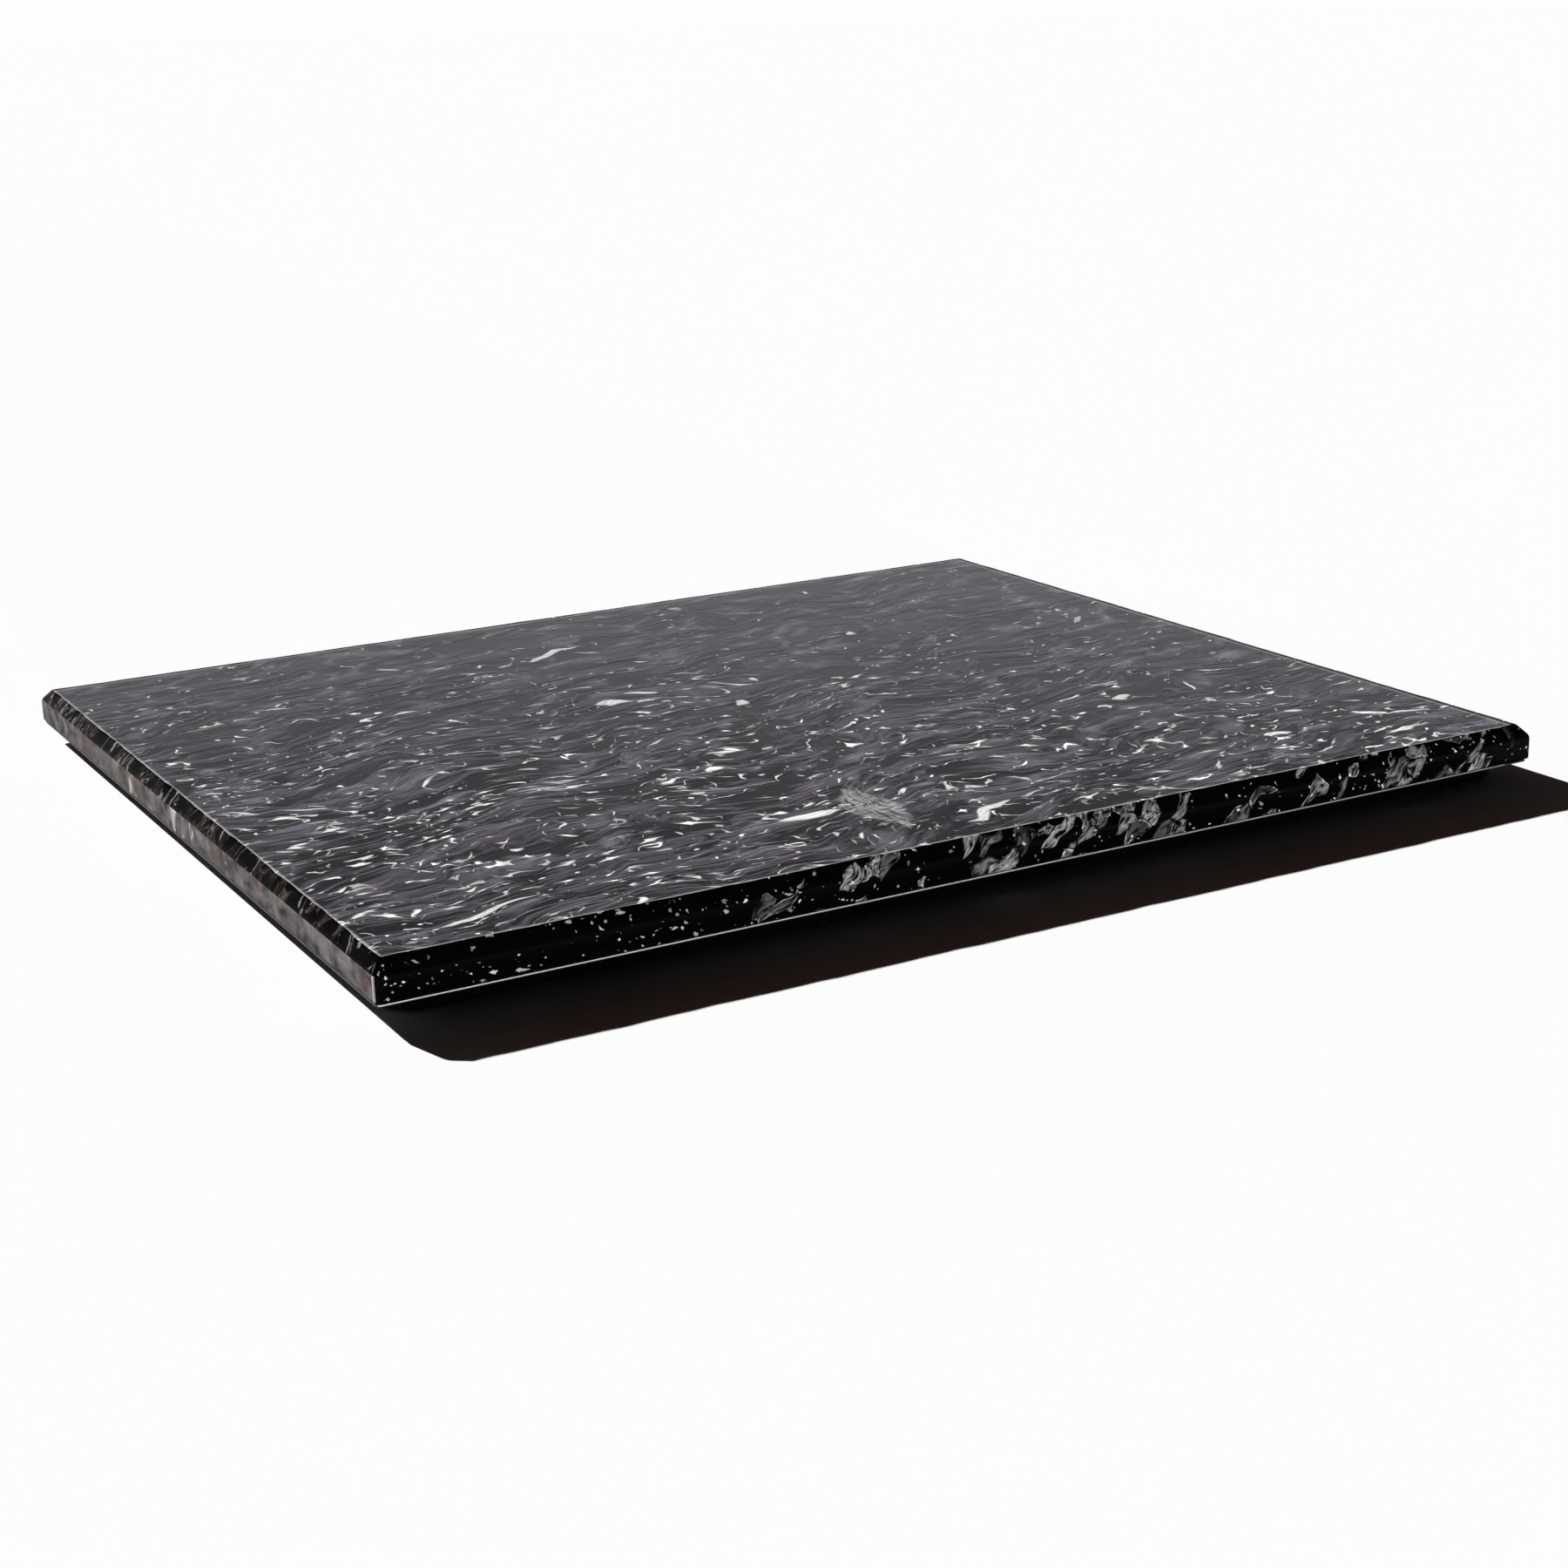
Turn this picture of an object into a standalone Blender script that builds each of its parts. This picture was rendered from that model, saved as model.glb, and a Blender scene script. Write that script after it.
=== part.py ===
"""Stone tooling slab on a recessed base, for cutting, punching and tooling leather.

A black stone slab with chamfered top edges carries a thin glass-fibre backing
sheet. Strips of mounting tape hold it to a smaller black base board, which
stands on rubber pads let into its underside.

Units are metres and +Z is up. The origin is on the surface that the slab
stands on, under the middle of the slab. X runs along the long sides.
"""

import bmesh
import bpy
from mathutils import Matrix, Vector

# Stone slab
SLAB_WIDTH = 0.400            # X, outer face to outer face
SLAB_DEPTH = 0.337            # Y, outer face to outer face
SLAB_THICKNESS = 0.0116
CHAMFER_INWARD = 0.0033       # the top chamfer's width, seen from above
CHAMFER_DOWN = 0.0037         # the top chamfer's height, seen from the side
SLAB_ARRIS = 0.0008           # the small chamfer around the underside
SLAB_CORNER_RADIUS = 0.0010   # the four upright corners

# Glass-fibre backing sheet under the stone
BACKING_THICKNESS = 0.0005
BACKING_SETBACK = 0.0006      # from the slab's outer faces
BACKING_CORNER_RADIUS = 0.0015

# Mounting tape between the backing and the base
TAPE_THICKNESS = 0.0006
TAPE_WIDTH = 0.025
TAPE_END_SETBACK = 0.020      # from the base board's ends
TAPE_SIDE_SETBACK = 0.018     # from the base board's front and back edges
TAPE_NAMES = ("tape_strip_front", "tape_strip_middle", "tape_strip_back")

# Base board
BASE_SETBACK = 0.0056         # from the slab's outer faces
BASE_THICKNESS = 0.0040
BASE_CORNER_RADIUS = 0.0105
BASE_UNDER_RADIUS = 0.0012    # round along the board's lower edge

# Rubber pads
PAD_RADIUS = 0.0125
PAD_THICKNESS = 0.0020
PAD_PROUD = 0.0008            # how far a pad stands out of its pocket
PAD_RIM = 0.0005              # round on the pad's lower rim
PAD_EDGE_DISTANCE = 0.036     # from the board's edges to a corner pad's centre

# Fits
FACE_GAP = 0.0003             # between two faces that touch
POCKET_CLEARANCE = 0.0004     # around a pad in its pocket
CUTTER_MARGIN = 0.0020        # how far a cutter starts outside the board

# Heights, from the ground up
BASE_BOTTOM = PAD_PROUD
BASE_TOP = BASE_BOTTOM + BASE_THICKNESS
TAPE_BOTTOM = BASE_TOP + FACE_GAP
TAPE_TOP = TAPE_BOTTOM + TAPE_THICKNESS
BACKING_BOTTOM = TAPE_TOP + FACE_GAP
BACKING_TOP = BACKING_BOTTOM + BACKING_THICKNESS
SLAB_BOTTOM = BACKING_TOP + FACE_GAP
SLAB_TOP = SLAB_BOTTOM + SLAB_THICKNESS

# Outlines
BASE_WIDTH = SLAB_WIDTH - 2 * BASE_SETBACK
BASE_DEPTH = SLAB_DEPTH - 2 * BASE_SETBACK

# Fineness of the rounded shapes
CORNER_SEGMENTS = 5
BASE_CORNER_SEGMENTS = 10
RIM_SEGMENTS = 3
PAD_SIDES = 48
SMOOTH_ANGLE = 0.6            # radians; sharper edges stay sharp


def clear_scene():
    for obj in list(bpy.data.objects):
        bpy.data.objects.remove(obj, do_unlink=True)


def make_collection(name):
    collection = bpy.data.collections.new(name)
    bpy.context.scene.collection.children.link(collection)
    return collection


def make_material(name, colour, roughness, metallic=0.0):
    material = bpy.data.materials.new(name)
    material.use_nodes = True
    shader = material.node_tree.nodes["Principled BSDF"]
    shader.inputs["Base Color"].default_value = (*colour, 1.0)
    shader.inputs["Roughness"].default_value = roughness
    shader.inputs["Metallic"].default_value = metallic
    return material


def stone_material():
    return make_material("black_stone", (0.018, 0.018, 0.020), 0.30)


def backing_material():
    return make_material("glass_fibre_resin", (0.62, 0.62, 0.58), 0.60)


def tape_material():
    return make_material("foam_tape", (0.04, 0.04, 0.04), 0.80)


def board_material():
    return make_material("black_board", (0.010, 0.010, 0.010), 0.55)


def pad_material():
    return make_material("pad_rubber", (0.015, 0.015, 0.015), 0.75)


def add_object(name, mesh, collection, material=None):
    obj = bpy.data.objects.new(name, mesh)
    collection.objects.link(obj)
    if material is not None:
        mesh.materials.append(material)
    return obj


def finish_mesh(bm, name):
    """Write a bmesh to a new mesh, with smooth shading across shallow angles."""
    bmesh.ops.recalc_face_normals(bm, faces=bm.faces)
    mesh = bpy.data.meshes.new(name)
    bm.to_mesh(mesh)
    bm.free()
    mesh.shade_smooth()
    mesh.set_sharp_from_angle(angle=SMOOTH_ANGLE)
    return mesh


def box_bmesh(width, depth, height):
    """A box standing on Z = 0, centred on the Z axis."""
    bm = bmesh.new()
    place = Matrix.Translation((0.0, 0.0, height / 2)) @ Matrix.Diagonal((width, depth, height, 1.0))
    bmesh.ops.create_cube(bm, size=1.0, matrix=place)
    return bm


def face_towards(bm, direction):
    """The face that looks most nearly in a direction."""
    return max(bm.faces, key=lambda face: face.normal.dot(Vector(direction)))


def round_edges(bm, edges, radius, segments):
    bmesh.ops.bevel(bm, geom=edges, offset=radius, offset_type="OFFSET", segments=segments,
                    profile=0.5, affect="EDGES")


def round_lower_rim(bm, radius):
    round_edges(bm, list(face_towards(bm, (0, 0, -1)).edges), radius, RIM_SEGMENTS)


def runs_up_corner(edge):
    first, second = (vert.co for vert in edge.verts)
    return first.x * second.x > 0 and first.y * second.y > 0


def round_corners(bm, radius, segments):
    """Round a box's four upright corners, also where they run over its chamfers."""
    edges = [edge for edge in bm.edges if runs_up_corner(edge)]
    round_edges(bm, edges, radius, segments)


def make_slab(collection):
    """The stone: a box whose top and bottom faces are stepped in to make the
    chamfer and the arris, and whose four corners are then rounded."""
    bm = box_bmesh(SLAB_WIDTH, SLAB_DEPTH, SLAB_THICKNESS - CHAMFER_DOWN - SLAB_ARRIS)
    top = face_towards(bm, (0, 0, 1))
    bmesh.ops.inset_region(bm, faces=[top], thickness=CHAMFER_INWARD, depth=CHAMFER_DOWN,
                           use_even_offset=True)
    bottom = face_towards(bm, (0, 0, -1))
    bmesh.ops.inset_region(bm, faces=[bottom], thickness=SLAB_ARRIS, depth=SLAB_ARRIS,
                           use_even_offset=True)
    round_corners(bm, SLAB_CORNER_RADIUS, CORNER_SEGMENTS)
    slab = add_object("stone_slab", finish_mesh(bm, "stone_slab"), collection, stone_material())
    slab.location.z = SLAB_BOTTOM + SLAB_ARRIS


def make_backing(collection):
    """The pale sheet glued under the stone, a little smaller than it all round."""
    bm = box_bmesh(SLAB_WIDTH - 2 * BACKING_SETBACK, SLAB_DEPTH - 2 * BACKING_SETBACK,
                   BACKING_THICKNESS)
    round_corners(bm, BACKING_CORNER_RADIUS, CORNER_SEGMENTS)
    backing = add_object("backing_sheet", finish_mesh(bm, "backing_sheet"), collection,
                         backing_material())
    backing.location.z = BACKING_BOTTOM


def make_tape(collection):
    """Strips along X, spread evenly from the front of the base to its back."""
    material = tape_material()
    outer_y = BASE_DEPTH / 2 - TAPE_SIDE_SETBACK - TAPE_WIDTH / 2
    pitch = 2 * outer_y / (len(TAPE_NAMES) - 1)
    for index, name in enumerate(TAPE_NAMES):
        bm = box_bmesh(BASE_WIDTH - 2 * TAPE_END_SETBACK, TAPE_WIDTH, TAPE_THICKNESS)
        strip = add_object(name, finish_mesh(bm, name), collection, material)
        strip.location = (0.0, index * pitch - outer_y, TAPE_BOTTOM)


def pad_centres():
    """Name and place of each pad: one near every corner, one in the middle."""
    x = BASE_WIDTH / 2 - PAD_EDGE_DISTANCE
    y = BASE_DEPTH / 2 - PAD_EDGE_DISTANCE
    return {
        "pad_front_left": (-x, -y),
        "pad_front_right": (x, -y),
        "pad_back_left": (-x, y),
        "pad_back_right": (x, y),
        "pad_centre": (0.0, 0.0),
    }


def cylinder_bmesh(radius, height):
    """An upright cylinder standing on Z = 0."""
    bm = bmesh.new()
    bmesh.ops.create_cone(bm, cap_ends=True, segments=PAD_SIDES, radius1=radius, radius2=radius,
                          depth=height, matrix=Matrix.Translation((0.0, 0.0, height / 2)))
    return bm


def make_base(collection, cutters):
    """The board, with a pocket in its underside for each pad."""
    bm = box_bmesh(BASE_WIDTH, BASE_DEPTH, BASE_THICKNESS)
    round_corners(bm, BASE_CORNER_RADIUS, BASE_CORNER_SEGMENTS)
    round_lower_rim(bm, BASE_UNDER_RADIUS)
    base = add_object("base_board", finish_mesh(bm, "base_board"), collection, board_material())
    base.location.z = BASE_BOTTOM

    pocket_depth = PAD_THICKNESS - PAD_PROUD + FACE_GAP
    for pad_name, (x, y) in pad_centres().items():
        name = pad_name.replace("pad", "pocket")
        bm = cylinder_bmesh(PAD_RADIUS + POCKET_CLEARANCE, pocket_depth + CUTTER_MARGIN)
        cutter = add_object(name, finish_mesh(bm, name), cutters)
        cutter.location = (x, y, BASE_BOTTOM - CUTTER_MARGIN)
        cutter.hide_render = True
        cutter.display_type = "WIRE"
        cut = base.modifiers.new(name, "BOOLEAN")
        cut.operation = "DIFFERENCE"
        cut.solver = "EXACT"
        cut.object = cutter


def make_pads(collection):
    """Round pads with a rounded lower rim, standing on the ground."""
    material = pad_material()
    for name, (x, y) in pad_centres().items():
        bm = cylinder_bmesh(PAD_RADIUS, PAD_THICKNESS)
        round_lower_rim(bm, PAD_RIM)
        pad = add_object(name, finish_mesh(bm, name), collection, material)
        pad.location = (x, y, 0.0)


def main():
    clear_scene()
    parts = make_collection("stone_tooling_slab")
    cutters = make_collection("cutters")
    make_slab(parts)
    make_backing(parts)
    make_tape(parts)
    make_base(parts, cutters)
    make_pads(parts)
    bpy.context.view_layer.update()


main()
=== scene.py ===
import math

import bpy
import numpy as np
from mathutils import Matrix, Vector


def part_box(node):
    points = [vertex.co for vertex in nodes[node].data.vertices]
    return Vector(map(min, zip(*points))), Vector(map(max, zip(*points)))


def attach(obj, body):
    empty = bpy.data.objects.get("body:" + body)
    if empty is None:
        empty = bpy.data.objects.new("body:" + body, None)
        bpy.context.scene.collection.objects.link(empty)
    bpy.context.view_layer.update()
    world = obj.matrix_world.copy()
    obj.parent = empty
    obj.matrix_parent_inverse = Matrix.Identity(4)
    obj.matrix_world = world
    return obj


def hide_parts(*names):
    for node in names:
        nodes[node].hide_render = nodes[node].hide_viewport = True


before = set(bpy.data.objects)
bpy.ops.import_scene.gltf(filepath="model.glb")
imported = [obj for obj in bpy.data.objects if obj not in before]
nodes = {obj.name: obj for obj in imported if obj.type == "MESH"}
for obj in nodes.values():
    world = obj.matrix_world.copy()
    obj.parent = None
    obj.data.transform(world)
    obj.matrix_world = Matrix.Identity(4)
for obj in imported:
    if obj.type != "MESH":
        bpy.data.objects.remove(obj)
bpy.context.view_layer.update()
print("frame loaded:", len(nodes), "CAD pieces")

mm = 0.001


# ---- camera
cameraView = {
    "position": (-0.40434, -0.75278, 0.2455),  # metres, standing in front and to the left
    "heading": -29.089,  # degrees from +Y, negative towards +X
    "pitchDown": 16.655,
    "roll": -1.509,
    "lens": 58.877,
    "sensor": 36.0,
}


def aimCamera(spec):
    # forward from heading and pitch, right level with the floor, up across both;
    # right and up are then turned by the roll
    yaw, pitch, roll = (math.radians(spec[k]) for k in ("heading", "pitchDown", "roll"))
    forward = Vector((-math.sin(yaw) * math.cos(pitch), math.cos(yaw) * math.cos(pitch), -math.sin(pitch)))
    level = Vector((math.cos(yaw), math.sin(yaw), 0))
    up = level.cross(forward)
    right = math.cos(roll) * level + math.sin(roll) * up
    up = -math.sin(roll) * level + math.cos(roll) * up
    data = bpy.data.cameras.new("camera")
    data.lens, data.sensor_width = spec["lens"], spec["sensor"]
    data.clip_start, data.clip_end = 0.01, 400
    camera = bpy.data.objects.new("camera", data)
    bpy.context.scene.collection.objects.link(camera)
    axes = Matrix((right, up, -forward)).transposed().to_4x4()
    camera.matrix_world = Matrix.Translation(spec["position"]) @ axes
    bpy.context.scene.camera = camera


aimCamera(cameraView)
bpy.context.scene.view_settings.view_transform = "Standard"
print("camera aimed")


# ---- small helpers
def linearColour(text):
    # sRGB hex to linear red, green, blue and an alpha of 1
    parts = [int(text[i:i + 2], 16) / 255 for i in (1, 3, 5)]
    return tuple(c / 12.92 if c <= 0.04045 else ((c + 0.055) / 1.055) ** 2.4 for c in parts) + (1.0,)


def addNode(tree, kind, settings={}, inputs={}, out=0):
    # one node with its settings; each input is a plain value or another node's socket; gives back one output
    node = tree.nodes.new(kind)
    for name, value in settings.items():
        setattr(node, name, value)
    for name, value in inputs.items():
        if isinstance(value, bpy.types.NodeSocket):
            tree.links.new(value, node.inputs[name])
        else:
            node.inputs[name].default_value = value
    return node.outputs[out] if len(node.outputs) else node


def startMaterial(name, sockets):
    # an empty material with one Principled shader, whose plain values are set here
    material = bpy.data.materials.new(name)
    material.use_nodes = True
    tree = material.node_tree
    tree.nodes.clear()
    shader = addNode(tree, "ShaderNodeBsdfPrincipled", {}, sockets)
    addNode(tree, "ShaderNodeOutputMaterial", {}, {"Surface": shader})
    place = addNode(tree, "ShaderNodeTexCoord", {}, {}, "Object")
    return material, tree, shader.node, place


def makePiece(name, points, faces, materials, faceSlots, smooth=True):
    # a mesh object at the origin, its place in its vertices
    mesh = bpy.data.meshes.new(name)
    mesh.from_pydata(points.tolist(), [], faces)
    for material in materials:
        mesh.materials.append(material)
    mesh.polygons.foreach_set("material_index", np.asarray(faceSlots, np.int32))
    mesh.polygons.foreach_set("use_smooth", np.full(len(faces), smooth))
    mesh.update()
    piece = bpy.data.objects.new(name, mesh)
    bpy.context.scene.collection.objects.link(piece)
    return piece


# ---- patterns, each a few nodes that give one socket
def bentPlace(tree, place, spacing, shift):
    # the point moved by up to half of shift, by a noise whose humps are spacing apart, both in mm
    noise = addNode(tree, "ShaderNodeTexNoise", {"noise_dimensions": "3D"},
                    {"Vector": place, "Scale": 1 / (spacing * mm), "Detail": 1.0}, "Color")
    centred = addNode(tree, "ShaderNodeVectorMath", {"operation": "SUBTRACT"}, {0: noise, 1: (0.5, 0.5, 0.5)})
    return addNode(tree, "ShaderNodeVectorMath", {"operation": "MULTIPLY_ADD"},
                   {0: centred, 1: (shift * mm,) * 3, 2: place})


def turnedPlace(tree, place, cell, turn, offset=(0, 0, 0)):
    # the point turned about Z and counted in cells, so one unit is one cell of that size in mm
    return addNode(tree, "ShaderNodeMapping", {"vector_type": "TEXTURE"},
                   {"Vector": place, "Location": tuple(v * mm for v in offset),
                    "Rotation": (0, 0, math.radians(turn)), "Scale": tuple(v * mm for v in cell)})


def slopeOver(tree, place, direction, start, end):
    # 0 to 1 along a direction across the slab, between two distances in mm
    along = addNode(tree, "ShaderNodeVectorMath", {"operation": "DOT_PRODUCT"},
                    {0: place, 1: direction}, "Value")
    return addNode(tree, "ShaderNodeMapRange", {"interpolation_type": "SMOOTHSTEP"},
                   {"Value": along, "From Min": start * mm, "From Max": end * mm})


def flakes(tree, place, spec, absent):
    # scattered slivers: one possible sliver in each cell, kept where the cell's own red is above absent,
    # pointed by a Minkowski distance under 1 and stretched by the cell's own proportions; its size grows
    # with the red and its brightness with the blue, fainter ones being commoner where fall is above 1
    counted = turnedPlace(tree, place, spec["cell"], spec["turn"], spec.get("offset", (0, 0, 0)))
    cells = addNode(tree, "ShaderNodeTexVoronoi",
                    {"voronoi_dimensions": spec.get("space", "2D"), "feature": "F1", "distance": "MINKOWSKI"},
                    {"Vector": counted, "Scale": 1.0, "Exponent": spec["point"]})
    distance, colour = cells, cells.node.outputs["Color"]
    split = addNode(tree, "ShaderNodeSeparateColor", {}, {"Color": colour})
    share = addNode(tree, "ShaderNodeMapRange", {}, {"Value": split, "From Min": absent, "From Max": 1.0})
    size = addNode(tree, "ShaderNodeMath", {"operation": "POWER"}, {0: share, 1: 1.3})
    size = addNode(tree, "ShaderNodeMath", {"operation": "MULTIPLY"}, {0: size, 1: spec["size"]})
    inside = addNode(tree, "ShaderNodeMath", {"operation": "SUBTRACT"}, {0: size, 1: distance})
    edge = addNode(tree, "ShaderNodeMath", {"operation": "MULTIPLY", "use_clamp": True},
                   {0: inside, 1: 1 / spec["soft"]})
    bright = addNode(tree, "ShaderNodeMath", {"operation": "POWER"},
                     {0: split.node.outputs["Blue"], 1: spec.get("fall", 1.0)})
    bright = addNode(tree, "ShaderNodeMapRange", {}, {"Value": bright, "To Min": spec["dim"], "To Max": 1.0})
    return addNode(tree, "ShaderNodeMath", {"operation": "MULTIPLY"}, {0: edge, 1: bright})


def strokes(tree, place, spec, start):
    # wandering brush-like lines: where a stretched noise passes through its middle value, as thick as a
    # second noise rises above start, so each line swells and tapers away, with a soft edge
    counted = turnedPlace(tree, place, spec["cell"], spec["turn"], spec.get("offset", (0, 0, 0)))
    field = addNode(tree, "ShaderNodeTexNoise", {}, {
        "Vector": counted, "Scale": 1.0, "Detail": spec["detail"], "Roughness": 0.4})
    away = addNode(tree, "ShaderNodeMath", {"operation": "SUBTRACT"}, {0: field, 1: 0.5})
    away = addNode(tree, "ShaderNodeMath", {"operation": "ABSOLUTE"}, {0: away})
    swell = addNode(tree, "ShaderNodeTexNoise", {}, {"Vector": counted, "Scale": spec["gaps"], "Detail": 1.0})
    over = addNode(tree, "ShaderNodeMath", {"operation": "SUBTRACT"}, {0: swell, 1: start})
    thick = addNode(tree, "ShaderNodeMath", {"operation": "MULTIPLY"}, {0: over, 1: spec["thin"] / 0.12})
    inside = addNode(tree, "ShaderNodeMath", {"operation": "SUBTRACT"}, {0: thick, 1: away})
    return addNode(tree, "ShaderNodeMath", {"operation": "MULTIPLY", "use_clamp": True},
                   {0: inside, 1: 1 / spec["soft"]})


def shade(tree, place, cell, turn, detail, low, high, toLow, toHigh):
    # a stretched noise, its values from low to high brought to the range from toLow to toHigh
    counted = turnedPlace(tree, place, cell, turn)
    field = addNode(tree, "ShaderNodeTexNoise", {}, {"Vector": counted, "Scale": 1.0, "Detail": detail})
    return addNode(tree, "ShaderNodeMapRange", {}, {"Value": field, "From Min": low, "From Max": high,
                                                    "To Min": toLow, "To Max": toHigh})


def lensReach(tree, place, half, turn, centre):
    # u u + |v| about a centre, 1 on the outline of a lens that is pointed at both ends
    counted = turnedPlace(tree, place, half, turn, centre)
    split = addNode(tree, "ShaderNodeSeparateXYZ", {}, {"Vector": counted})
    across = addNode(tree, "ShaderNodeMath", {"operation": "ABSOLUTE"}, {0: split.node.outputs["Y"]})
    return addNode(tree, "ShaderNodeMath", {"operation": "MULTIPLY_ADD"}, {0: split, 1: split, 2: across})


def largest(tree, parts):
    total = parts[0]
    for part in parts[1:]:
        total = addNode(tree, "ShaderNodeMath", {"operation": "MAXIMUM"}, {0: total, 1: part})
    return total


def times(tree, first, second):
    return addNode(tree, "ShaderNodeMath", {"operation": "MULTIPLY"}, {0: first, 1: second})


# ---- stone, honed working face: black fossil limestone rubbed matt, so it shows grey, with pale shells
honedFace = {
    "stone": "#080709",
    "cloud": "#333136",
    "shell": "#cdccca",
    "veil": "#625f67",
    # the colour of the painted shade line along the back and right arrises
    "line": "#060607",
    "roughness": 0.32,
    "slivers": [
        {"cell": (18, 4.2, 5), "turn": 6, "size": 0.42, "soft": 0.16, "dim": 0.16, "fall": 1.8,
         "point": 0.70},
        {"cell": (15, 4.2, 5), "turn": -24, "size": 0.40, "soft": 0.16, "dim": 0.16, "fall": 1.8,
         "point": 0.72, "offset": (31, 17, 0)},
        {"cell": (7, 5.0, 5), "turn": 16, "size": 0.21, "soft": 0.08, "dim": 0.30, "fall": 1.3,
         "point": 1.0, "offset": (13, -61, 0)},
    ],
    "strokes": [
        {"cell": (26, 11, 10), "turn": 12, "thin": 0.018, "soft": 0.014, "detail": 2.0, "gaps": 2.1},
        {"cell": (19, 9, 10), "turn": -18, "thin": 0.018, "soft": 0.014, "detail": 1.5, "gaps": 1.9,
         "offset": (57, 23, 0)},
        {"cell": (15, 12, 10), "turn": 40, "thin": 0.015, "soft": 0.013, "detail": 1.5, "gaps": 2.3,
         "offset": (-39, 71, 0)},
        {"cell": (34, 8, 10), "turn": 4, "thin": 0.014, "soft": 0.024, "detail": 2.5, "gaps": 1.3,
         "offset": (11, -27, 0)},
    ],
    # a few large shells: centre x and y, length, width in mm, turn in degrees, brightness
    "shells": [
        (-24, 112, 32, 5.0, 27, 1.0), (47, 148, 12, 6.0, 120, 0.5), (-82, 126, 9, 4.5, -30, 0.6),
        (-35, 24, 12, 7.0, -24, 0.85), (-50, -121, 17, 9.5, -16, 0.85), (171, 44, 17, 4.2, 27, 0.6),
        (128, -131, 12, 4.5, -20, 0.9), (154, -110, 9, 4.5, -30, 0.8), (172, -130, 15, 3.2, -62, 0.9),
        (181, -135, 15, 3.0, 6, 0.7), (4, -150, 30, 3.4, 20, 0.8), (-156, -145, 32, 4.4, 12, 0.8),
        (116, -69, 10, 4.5, 15, 0.7), (-21, 33, 9, 4.0, 5, 0.8), (-1, 10, 10, 4.0, 60, 0.7),
    ],
    "paleShell": {"centre": (-30, -125), "size": (29, 12), "turn": 84},  # half length and half width
    "fade": (1.0, 0.60),  # strength of all the white, at the front and at the back
    # each pair is for the back right, where the stone is quiet, and the front left, where it is busiest
    "noSliver": (0.93, 0.80),  # share of cells left without a sliver
    "strokeStart": (0.62, 0.535),  # noise level above which a stroke shows
    "bedding": (0.22, 0.85),  # depth of the light and dark streaks
    "darkShine": (0.36, 0.08),  # specular level of the dark streaks
    "paleShine": (0.54, 0.26),  # and of the pale ones
    # painted lines along the arrises, a painted highlight in the shell colour and painted shade in the line
    # colour: which sides, full up to and gone by in mm from them, strength, colour
    "paintedArrisLines": [
        ("frontLeft", 3.7, 4.5, 0.30, "shell"),
        ("backRight", 6.0, 7.4, 0.14, "shell"),
        ("backRight", 5.3, 6.1, 0.94, "line"),
    ],
}


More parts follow.
